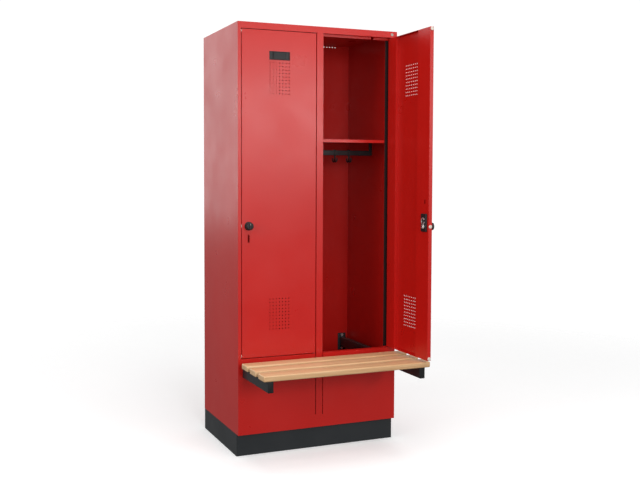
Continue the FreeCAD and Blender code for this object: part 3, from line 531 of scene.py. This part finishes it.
def buffer_grids(z):
    """A button on the free edge at height z, and its stem into the door."""
    centre = (FREE_EDGE, (FACE + REAR) / 2, z)
    button = turned(rounded_disc(BUFFER_RADIUS, 0.0, -BUFFER_THICK, BUFFER_EASE), centre, "x")
    stem = turned(rounded_disc(STEM_RADIUS, 0.0, STEM_LONG, STEM_EASE), centre, "x", 24)
    return [button, stem]


for side in ("left", "right"):
    ring = rosette_profile(ROSETTE_RADIUS, ROSETTE_HOLE, FACE, FACE - ROSETTE_THICK, ROSETTE_EASE)
    rosette = on_door(side, [turned(ring, LOCK_AXIS)])
    make_piece(f"{side}_rosette_ring", rosette, f"{side}_door", black_plastic, [f"{side}_rosette"])
    heights = (DOOR_TOP - BUFFER_FROM_END, LOCK_Z, DOOR_FOOT + BUFFER_FROM_END)
    buffers = on_door(side, [grid for z in heights for grid in buffer_grids(z)])
    make_piece(f"{side}_edge_buffers", buffers, f"{side}_door", cream_plastic, [f"{side}_door_buffers"])

plug_low, plug_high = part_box("header_plug")
plug_at = ((plug_low[0] + plug_high[0]) / 2, 0, (plug_low[2] + plug_high[2]) / 2)
plug_seat = plug_low[1] + PLUG_THICK
plug = [
    turned(rounded_disc(PLUG_RADIUS, plug_seat, plug_low[1], PLUG_EASE), plug_at),
    turned(rounded_disc(PLUG_STEM_RADIUS, plug_seat, plug_high[1], PLUG_STEM_EASE), plug_at, sides=24),
]
make_piece("header_cap", plug, "cabinet", grey_plastic, ["header_plug"])
print("rosettes, buffers and plug are turned")

# %% [markdown]
# ## Knobs
#
# The knob is a tall round body with a low bar across its face to grip and turn. The bar is pinched in the
# middle, where finger and thumb hold it. A light grey strip on the upper half of the bar is a painted highlight.

# %% Knobs with a grip bar
BASE, BAR = 0.020, 0.004
KNOB_GAP = 0.0003
COLLAR_RADIUS, BODY_RADIUS, BODY_EASE, HUB_RADIUS = 0.0165, 0.017, 0.0045, 0.008
BAR_HALF, BAR_REACH, BAR_PINCH, BAR_EASE = 0.0058, 0.0145, 0.22, 0.0026
# The light grey strip on the bar is a painted highlight: its half width and its span above the spindle.
HIGHLIGHT_HALF, HIGHLIGHT_FROM, HIGHLIGHT_TO = 0.0013, 0.004, 0.0115


def knob_grids():
    """The body is a profile turned about the spindle. The bar is a rounded block that is narrowed by a
    parabola along its length: x' = x (1 - pinch (1 - along^2)). Returns the black grids and the grey strip's, a
    painted highlight."""
    rear = FACE - ROSETTE_THICK - KNOB_GAP
    front = rear - BASE
    collar = [
        (0, rear),
        (COLLAR_RADIUS - 0.0007, rear),
        (COLLAR_RADIUS, rear - 0.001),
        (COLLAR_RADIUS, rear - 0.004),
        (BODY_RADIUS, rear - 0.0055),
    ]
    rim = rounded_disc(BODY_RADIUS, rear, front, BODY_EASE, 10)[2:]
    body = turned(np.concatenate([collar, rim]), LOCK_AXIS, sides=72)
    hub = turned(rounded_disc(HUB_RADIUS, FACE, rear, 0.0002), LOCK_AXIS)
    bar_z = (LOCK_Z - BAR_REACH, LOCK_Z + BAR_REACH)
    points, *closed = boxed(LOCK_X, BAR_HALF, (front - BAR, front + 0.004), bar_z, BAR_EASE)
    along = (points[..., 2] - LOCK_Z) / BAR_REACH
    points[..., 0] = LOCK_X + (points[..., 0] - LOCK_X) * (1 - BAR_PINCH * (1 - along**2))
    # A light grey strip on the bar's face, standing for the light the bar catches: a painted highlight.
    highlight_y = (front - BAR - 0.0002, front - BAR + 0.001)
    highlight_strip = boxed(LOCK_X, HIGHLIGHT_HALF, highlight_y, (LOCK_Z + HIGHLIGHT_FROM, LOCK_Z + HIGHLIGHT_TO), 0.0005)
    return [body, hub, (points, *closed)], [highlight_strip]


for side in ("left", "right"):
    grips, highlight_strips = knob_grids()
    make_piece(f"{side}_knob_grip", on_door(side, grips), f"{side}_knob", black_plastic, [f"{side}_knob"])
    # The grey strip is a painted highlight on the grip bar, in grey plastic.
    make_piece(f"{side}_knob_highlight", on_door(side, highlight_strips), f"{side}_knob", grey_plastic)
print("knobs stand", round((ROSETTE_THICK + KNOB_GAP + BASE + BAR) * 1000, 1), "mm proud of the door")

# %% [markdown]
# ## Label holders
#
# The holder is one thin moulding: a crowned bar at each end and a low rim above and below, with a sunken
# window for a card between them. Such a shape is a height above a flat plate, so it is written as one
# function of x and z on a grid.

# %% Label holder as a height over a plate
def smooth_step(value):
    """0 below 0, 1 above 1, and 3v^2 - 2v^3 between."""
    value = np.clip(value, 0, 1)
    return value * value * (3 - 2 * value)


LABEL_HALF_X, LABEL_HALF_Z, LABEL_FROM_TOP = 0.050, 0.019, 0.110
END_BAR_X, END_BAR_HALF, END_BAR_HIGH = 0.0395, 0.0115, 0.004
RIM_FROM, RIM_HIGH, RIM_SLOPE, CARD_HIGH, SKIRT = 0.0150, 0.0026, 0.0012, 0.0012, 0.0016
WINDOW_X, WINDOW_Z = 0.0255, 0.014


def fine_ends(half, window, ends, inside):
    """Positions from -half to half, fine outside -window..window and coarse inside it."""
    left = np.linspace(-half, -window - 0.0005, ends)
    return np.concatenate([left, np.linspace(-window, window, inside), -left[::-1]])


def label_grids():
    """Height = the largest of the end bars (a half ellipse across their width), the rims and the card, and
    it is brought down to the door over a narrow skirt all round."""
    middle_x, middle_z = (FREE_EDGE + HINGE_EDGE) / 2, DOOR_TOP - LABEL_FROM_TOP
    x = fine_ends(LABEL_HALF_X, WINDOW_X, 40, 16)
    z = fine_ends(LABEL_HALF_Z, WINDOW_Z, 14, 12)
    X, Z = np.meshgrid(x, z, indexing="ij")
    bar = END_BAR_HIGH * np.sqrt(np.clip(1 - ((np.abs(X) - END_BAR_X) / END_BAR_HALF) ** 2, 0, 1))
    rim = RIM_HIGH * smooth_step((np.abs(Z) - RIM_FROM) / RIM_SLOPE)
    edge = smooth_step((LABEL_HALF_X - np.abs(X)) / SKIRT) * smooth_step((LABEL_HALF_Z - np.abs(Z)) / SKIRT)
    height = np.maximum(np.maximum(bar, rim), CARD_HIGH) * edge
    front = np.stack([X + middle_x, FACE - height, Z + middle_z], axis=-1)
    back = np.stack([X + middle_x, np.full_like(X, FACE), Z + middle_z], axis=-1)
    return [(front, False, False), (back, False, False)]


for side in ("left", "right"):
    moulding = on_door(side, label_grids())
    make_piece(f"{side}_label_moulding", moulding, f"{side}_door", black_plastic, [f"{side}_label_holder"])
print("label holders are moulded")

# %% [markdown]
# ## Sections carried along a path
#
# Hooks and strips keep one section all the way along, like a bar that was bent. Carrying a section along a
# path needs, at every point, the direction along the path and two directions across it. All our paths lie in
# one plane, so one of those is always the same.

# %% Carry a section along a flat path
def oval(width, height, sides=20):
    """An ellipse's outline as (across the plane, in the plane) pairs."""
    t = np.arange(sides) * 2 * np.pi / sides
    return np.stack([width / 2 * np.cos(t), height / 2 * np.sin(t)], axis=1)


def strap(width, height, ease, steps=4):
    """A rounded rectangle's outline: four quarter circles pulled apart into its corners."""
    a = np.concatenate([np.linspace(q, q + 0.5 * np.pi, steps + 1) for q in np.arange(4) * 0.5 * np.pi])
    sign = np.repeat([[1, 1], [-1, 1], [-1, -1], [1, -1]], steps + 1, axis=0)
    corner = np.array([width / 2 - ease, height / 2 - ease])
    return sign * corner + ease * np.stack([np.cos(a), np.sin(a)], axis=1)


def carried(section, path, across, tip=None, ends=5):
    """Point = path + a * across + b * (along x across) for every (a, b) of the section. Without a tip the
    path is closed. With one, both ends go on for the tip's length, in quarter-circle steps to a point."""
    path, across = np.array(path, float), np.array(across, float)
    closed = tip is None
    if closed:
        along = np.roll(path, -1, axis=0) - np.roll(path, 1, axis=0)
    else:
        along = np.gradient(path, axis=0)
    along /= np.linalg.norm(along, axis=1, keepdims=True)
    size = np.ones(len(path))
    if not closed:
        a = np.linspace(0, 0.5 * np.pi, ends + 1)[1:]
        first = path[0] - along[0] * tip * np.sin(a)[:, None]
        last = path[-1] + along[-1] * tip * np.sin(a)[:, None]
        path = np.concatenate([first[::-1], path, last])
        along = np.concatenate([np.repeat(along[:1], ends, 0), along, np.repeat(along[-1:], ends, 0)])
        size = np.concatenate([np.cos(a)[::-1], size, np.cos(a)])
    other = np.cross(along, across)
    ring = section[None, :, :1] * across + section[None, :, 1:] * other[:, None]
    return path[:, None] + ring * size[:, None, None], closed, True


def arc(centre, radius, start, stop, count, plane):
    """Points of an arc, angles in degrees; plane names the two axes it lies in, as (1, 2) for y and z."""
    t = np.radians(np.linspace(start, stop, count))
    points = np.repeat([centre], count, axis=0).astype(float)
    points[:, plane[0]] += radius * np.cos(t)
    points[:, plane[1]] += radius * np.sin(t)
    return points


print("path helper is ready")

# %% [markdown]
# ### Coat hooks
#
# Each hook is a moulded collar that slides on the rail, with a stem below it that splits into a prong to the
# front and one to the back. The collar is a closed path round the rail, and each prong is an open one.

# %% Six sliding coat hooks
WALL, CLEARANCE, CORNER = 0.003, 0.0003, 0.0012
RAIL_HALF, COLLAR_WIDE, COLLAR_ABOVE_BEND = 0.004, 0.008, 0.0175
ROD_WIDE, ROD, THROAT, TIP_RISE, TIP_LEAN = 0.0076, 0.006, 0.008, 0.009, 0.0006
STEM_HALF_X, STEM_HALF_Y, STEM_LAP = 0.0036, 0.0032, 0.006


def collar_path(x, y, foot, top):
    """A closed rectangle round the rail with a quarter circle at each corner."""
    half = RAIL_HALF + CLEARANCE + WALL / 2 - CORNER
    high, low = top - CORNER, foot + CORNER
    corners = [(half, high), (-half, high), (-half, low), (half, low)]
    return np.concatenate(
        [
            arc((x, y + out, z), CORNER, 90 * number, 90 * number + 90, 5, (1, 2))
            for number, (out, z) in enumerate(corners)
        ]
    )


def prong_path(x, y, bend, way):
    """Down from the stem, round a half circle of radius throat + rod / 2, and up to a tip that leans out."""
    reach = THROAT + ROD / 2
    start, stop = (180, 360) if way > 0 else (0, -180)
    curve = arc((x, y + way * reach, bend), reach, start, stop, 26, (1, 2))
    tip = curve[-1:] + [[0, way * TIP_LEAN, TIP_RISE - ROD / 2]]
    return np.concatenate([[[x, y, bend + STEM_LAP]], curve, tip])


def coat_hook(name):
    """The collar is a strap carried round the rail, the stem a rounded block, the prongs ovals carried along
    half circles. The height of the bend is measured from the foot of the drawn box."""
    low, high = (np.array(corner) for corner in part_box(name))
    x, y = (low[0] + high[0]) / 2, (low[1] + high[1]) / 2
    bend = low[2] + THROAT + ROD
    collar_foot = bend + COLLAR_ABOVE_BEND
    collar = collar_path(x, y, collar_foot + WALL / 2, high[2] - WALL / 2)
    grids = [carried(strap(COLLAR_WIDE, WALL, 0.0008), collar, (1, 0, 0))]
    stem_y, stem_z = (y - STEM_HALF_Y, y + STEM_HALF_Y), (bend - 0.002, collar_foot + 0.001)
    grids.append(boxed(x, STEM_HALF_X, stem_y, stem_z, 0.0012))
    for way in (-1, 1):
        grids.append(carried(oval(ROD_WIDE, ROD), prong_path(x, y, bend, way), (1, 0, 0), ROD / 2))
    return make_piece(f"{name}_moulding", grids, name, black_plastic, [name])


hooks = [coat_hook(f"{side}_coat_hook_{number}") for side in ("left", "right") for number in (1, 2, 3)]
print(len(hooks), "hooks of", len(hooks[0].data.polygons), "faces")

# %% [markdown]
# ### Lock hooks
#
# Behind each door a plated hook turns with the knob. It is a C of flat bar on a round boss, held by a nut.
# The C is a section carried round most of a circle, and the nut is a turned shape with six sides.

# %% The lock's hook, boss and nut
CASE_THICK = 0.008
PLATE, HOOK_RISE, HOOK_RADIUS, HOOK_BAR, HOOK_TURN, HOOK_TIP = 0.0025, 0.025, 0.012, 0.006, 143, 0.00365
NECK_HALF, NECK_HIGH, BOSS_RADIUS = 0.0062, 0.0145, 0.00975
WASHER_RADIUS, WASHER_THICK, NUT_RADIUS, NUT_THICK = 0.0082, 0.0006, 0.0075, 0.0034


def lock_hook_grids():
    """A C carried round most of a circle of radius 12 mm whose middle is 25 mm above the spindle, a neck down
    to the boss, and on the boss a washer and a nut, which is a profile turned in six sides."""
    back = REAR + CASE_THICK + 0.0004
    front = back + PLATE
    centre = (LOCK_X, (back + front) / 2, LOCK_Z + HOOK_RISE)
    ring = arc(centre, HOOK_RADIUS, -HOOK_TURN, HOOK_TURN, 60, (0, 2))
    washer = front + WASHER_THICK
    nut = [
        (0, washer),
        (NUT_RADIUS - 0.0005, washer),
        (NUT_RADIUS, washer + 0.0005),
        (NUT_RADIUS, washer + NUT_THICK - 0.0005),
        (NUT_RADIUS - 0.0007, washer + NUT_THICK),
        (0, washer + NUT_THICK),
    ]
    return [
        carried(strap(PLATE, HOOK_BAR, 0.0006), ring, (0, 1, 0), HOOK_TIP, ends=3),
        boxed(LOCK_X, NECK_HALF, (back, front), (LOCK_Z, LOCK_Z + NECK_HIGH), 0.0006),
        turned(rounded_disc(BOSS_RADIUS, back, front, 0.0006), LOCK_AXIS),
        turned(rounded_disc(WASHER_RADIUS, front, washer, 0.0003), LOCK_AXIS),
        turned(nut, LOCK_AXIS, sides=6, start=math.radians(30)),
    ]


for side in ("left", "right"):
    plate = on_door(side, lock_hook_grids())
    make_piece(f"{side}_lock_hook_plate", plate, f"{side}_knob", zinc, [f"{side}_lock_hook"], sharp=30)
print("lock hooks reach", round((HOOK_RISE + HOOK_RADIUS + HOOK_BAR / 2) * 1000), "mm above the spindle")

# %% [markdown]
# ### Lock cases
#
# The lock's works sit in a moulded case on the inside of the door. It has soft edges, a slightly raised
# field and four rivets, so it is one rounded block on another with four turned heads.

# %% Lock cases
CASE_HALF, CASE_BELOW, CASE_ABOVE = 0.021, 0.023, 0.057
FIELD_INSET, FIELD_RISE = 0.006, 0.0002
RIVET_RADIUS, RIVET_INSET, RIVET_FROM_TOP = 0.0028, 0.010, 0.011


def lock_case_grids():
    """Case, raised field and rivets, all measured from the spindle."""
    top_y = REAR + CASE_THICK
    foot, top = LOCK_Z - CASE_BELOW, LOCK_Z + CASE_ABOVE
    case = boxed(LOCK_X, CASE_HALF, (REAR, top_y), (foot, top), 0.0025)
    field_z = (foot + FIELD_INSET, top - FIELD_INSET)
    field = boxed(LOCK_X, CASE_HALF - FIELD_INSET, (top_y - 0.002, top_y + FIELD_RISE), field_z, 0.001)
    head = rounded_disc(RIVET_RADIUS, top_y - 0.0005, top_y + 0.0003, 0.0006)
    rivets = [
        turned(head, (LOCK_X + way * (CASE_HALF - RIVET_INSET), 0, z), sides=20)
        for way in (-1, 1)
        for z in (top - RIVET_FROM_TOP, foot + RIVET_INSET)
    ]
    return [case, field, *rivets]


for side in ("left", "right"):
    case = on_door(side, lock_case_grids())
    make_piece(f"{side}_lock_box", case, f"{side}_door", black_plastic, [f"{side}_lock_case"])
print("lock cases are", round(CASE_HALF * 2000), "x", round((CASE_BELOW + CASE_ABOVE) * 1000), "mm")

# %% [markdown]
# ### Coat rails
#
# A rail is one moulding: a flat bar, turned up at both ends into short posts with flat feet that are
# screwed to the underside of the shelf. Rounded blocks that overlap a little make all of it.

# %% Coat rails
RAIL_TALL, POST_LONG, POST_LAP, FOOT_THICK = 0.025, 0.016, 0.006, 0.003


def coat_rail(side):
    """The bar runs the length of the drawn box. Each post stands on its end, and its foot is at the top."""
    name = f"{side}_coat_rail"
    low, high = (np.array(corner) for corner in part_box(name))
    y = (low[1] + high[1]) / 2
    near, far, bar_top = y - RAIL_HALF, y + RAIL_HALF, low[2] + RAIL_TALL
    grids = [rounded_block((low[0], near, low[2]), (high[0], far, bar_top), 0.0018)]
    for x0, x1 in ((low[0], low[0] + POST_LONG), (high[0] - POST_LONG, high[0])):
        grids.append(rounded_block((x0, near, bar_top - POST_LAP), (x1, far, high[2]), 0.0014))
        grids.append(rounded_block((x0, low[1], high[2] - FOOT_THICK), (x1, high[1], high[2]), 0.0009))
    return make_piece(f"{name}_moulding", grids, "cabinet", black_plastic, [name])


rails = [coat_rail(side) for side in ("left", "right")]
print("rails:", [rail.name for rail in rails])

# %% [markdown]
# ### Stop strips
#
# A dark strip beside each hinge is painted shade: the narrow slot there lies in deep shade, and the strip fills
# it.
# It is shaped as a soft stop strip, extruded rubber with a flat foot and a low round lip, cut to length.

# %% Stop strips, painted shade in the hinge slots
FOOT_DEEP, LIP_WIDE, LIP_DEEP, LIP_SEAT, LIP_FROM_END = 0.0015, 0.0165, 0.0034, 0.00175, 0.003


def stop_strip(side):
    """A flat foot glued to the flange and a round lip in front of it, carried straight up, dark as painted shade.
    """
    name = f"{side}_stop_strip"
    low, high = (np.array(corner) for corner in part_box(name))
    foot = rounded_block((low[0], high[1] - FOOT_DEEP, low[2]), high, 0.0006)
    lip_x, lip_y = (low[0] + high[0]) / 2, low[1] + LIP_SEAT
    path = np.linspace((lip_x, lip_y, low[2] + LIP_FROM_END), (lip_x, lip_y, high[2] - LIP_FROM_END), 8)
    lip = carried(oval(LIP_WIDE, LIP_DEEP, 24), path, (1, 0, 0), LIP_DEEP / 2)
    # The strip is dark rubber where the slot beside the hinge lies in deep shade: painted shade.
    return make_piece(f"{name}_profile", [foot, lip], "cabinet", dark_rubber, [name])


shade_strips = [stop_strip(side) for side in ("left", "right")]
print("strips:", [strip.name for strip in shade_strips])

# %% [markdown]
# ## Studio
#
# The floor is a wide pale disc that fades out round the locker, so that no horizon shows. Its own faint glow
# keeps it from going grey under the bench. It is left out of reflections and bounced light, so that the
# paint stays clean.

# %% Pale floor
FLOOR_RADIUS, FLOOR_RINGS, FLOOR_SIDES, FLOOR_DROP = 14, 12, 64, 0.0005


def pale_floor():
    """A flat disc of rings whose material turns clear between 1.2 m and 4.5 m from the middle."""
    radius = np.linspace(0, FLOOR_RADIUS, FLOOR_RINGS)
    t = np.arange(FLOOR_SIDES) * 2 * np.pi / FLOOR_SIDES
    level = np.full((FLOOR_RINGS, FLOOR_SIDES), -FLOOR_DROP)
    grid = np.stack([radius[:, None] * np.cos(t), radius[:, None] * np.sin(t), level], axis=-1)
    finish, tree, shader = new_finish("pale_floor", glow=0.3)
    shader.inputs["Emission Color"].default_value = (1, 1, 1, 1)
    place = stretched_place(tree)
    pale = tones(tree, noise(tree, place, 0.7), [(0.3, (0.86, 0.86, 0.86)), (0.7, (0.88, 0.88, 0.88))])
    tree.links.new(pale, shader.inputs["Base Color"])
    tree.links.new(spread(tree, noise(tree, place, 30), 0.3, 0.7, 0.75, 0.85), shader.inputs["Roughness"])
    distance = tree.nodes.new("ShaderNodeVectorMath")
    distance.operation = "LENGTH"
    tree.links.new(place, distance.inputs[0])
    tree.links.new(spread(tree, distance.outputs["Value"], 1.2, 4.5, 1.0, 0.0), shader.inputs["Alpha"])
    mesh = bpy.data.meshes.new("floor")
    faces = quads(FLOOR_RINGS, FLOOR_SIDES, False, True)
    mesh.from_pydata(grid.reshape(-1, 3).tolist(), [], faces.tolist())
    mesh.materials.append(finish)
    floor = bpy.data.objects.new("floor", mesh)
    bpy.context.scene.collection.objects.link(floor)
    floor.visible_glossy = False
    floor.visible_diffuse = False


pale_floor()
print("floor radius", FLOOR_RADIUS, "m")

# %% [markdown]
# ### White surroundings
#
# Catalogue pictures stand on plain white. What the camera sees directly is white, while the light that the
# surroundings give is weaker, and weaker still from below, so that the folds keep their shading.

# %% White surroundings
def white_surroundings(sky, ground, seen):
    """Light from above the horizon is sky, from below it ground, and what is seen directly is plain white."""
    world = bpy.data.worlds.new("studio")
    bpy.context.scene.world = world
    world.use_nodes = True
    tree = world.node_tree
    background = tree.nodes["Background"]
    way = tree.nodes.new("ShaderNodeTexCoord")
    split = tree.nodes.new("ShaderNodeSeparateXYZ")
    tree.links.new(way.outputs["Generated"], split.inputs["Vector"])
    light = spread(tree, split.outputs["Z"], -0.25, 0.2, ground, sky)
    path = tree.nodes.new("ShaderNodeLightPath")
    mix = tree.nodes.new("ShaderNodeMix")
    mix.inputs["B"].default_value = seen
    tree.links.new(path.outputs["Is Camera Ray"], mix.inputs["Factor"])
    tree.links.new(light, mix.inputs["A"])
    tree.links.new(mix.outputs["Result"], background.inputs["Strength"])
    background.inputs["Color"].default_value = (1, 1, 1, 1)


white_surroundings(sky=0.46, ground=0.2, seen=1.05)
bpy.context.scene.view_settings.view_transform = "Standard"
print("surroundings are white")

# %% [markdown]
# ### Soft boxes
#
# Paint with a sheen is lit by large soft boxes. The key, in front on the right, lays the bright patch on the
# upper part of the shut door. The front box lights the doors evenly, the fill lights the left side, the top
# box lights the bench and the floor, and the rim box, behind on the left, lays a sheen on the side panel.

# %% Soft boxes
SOFT_BOXES = {
    "key": ((1.7, -4.4, 1.88), (-0.1, 0, 1.2), (1.5, 0.7), 28),
    "front": ((-0.45, -4.7, 1.7), (0.1, 0, 1.0), (1.6, 1.6), 62),
    "fill": ((-4.2, -1.6, 2.2), (-0.2, 0, 1.0), (2.2, 2.2), 70),
    "top": ((0.2, -1.2, 4.2), (0, -0.2, 0.6), (2.4, 2.4), 62),
    "rim": ((-1.9, 4.4, 2.2), (-0.4, 0, 1.4), (1.6, 2.8), 19),
}


def soft_box(name, place, target, size, power):
    """An area light that looks from its place at the target: tilt = atan2(level distance, drop), and a turn
    about the upright that points it at the target."""
    light = bpy.data.lights.new(name, "AREA")
    light.shape = "RECTANGLE"
    light.size, light.size_y = size
    light.energy = power
    lamp = bpy.data.objects.new(name, light)
    way = np.array(target, float) - np.array(place, float)
    tilt = math.atan2(math.hypot(way[0], way[1]), -way[2])
    lamp.location = place
    lamp.rotation_euler = (tilt, 0, math.atan2(way[1], way[0]) - math.pi / 2)
    lamp.visible_camera = False
    bpy.context.scene.collection.objects.link(lamp)


for name, settings in SOFT_BOXES.items():
    soft_box(name, *settings)
print(len(SOFT_BOXES), "soft boxes")

# %% [markdown]
# ## Camera
#
# The camera stands to the left in front of the locker, a little above the middle of its height, and looks
# slightly down. It is turned a little past the locker, and a small lens shift brings the locker back to the
# middle.

# %% Camera
CAMERA_PLACE = (-1.6741, -3.8074, 1.2614)
LOOKS_DOWN, TURNS_RIGHT = 0.0495, 0.3698

camera_data = bpy.data.cameras.new("camera")
camera_data.sensor_width = 36
camera_data.lens = 47.92
camera_data.shift_x = 0.09375
camera_data.shift_y = -0.03125
camera = bpy.data.objects.new("camera", camera_data)
camera.location = CAMERA_PLACE
camera.rotation_euler = (math.pi / 2 - LOOKS_DOWN, 0, -TURNS_RIGHT)
bpy.context.scene.collection.objects.link(camera)
bpy.context.scene.camera = camera
print("camera at", tuple(camera.location))
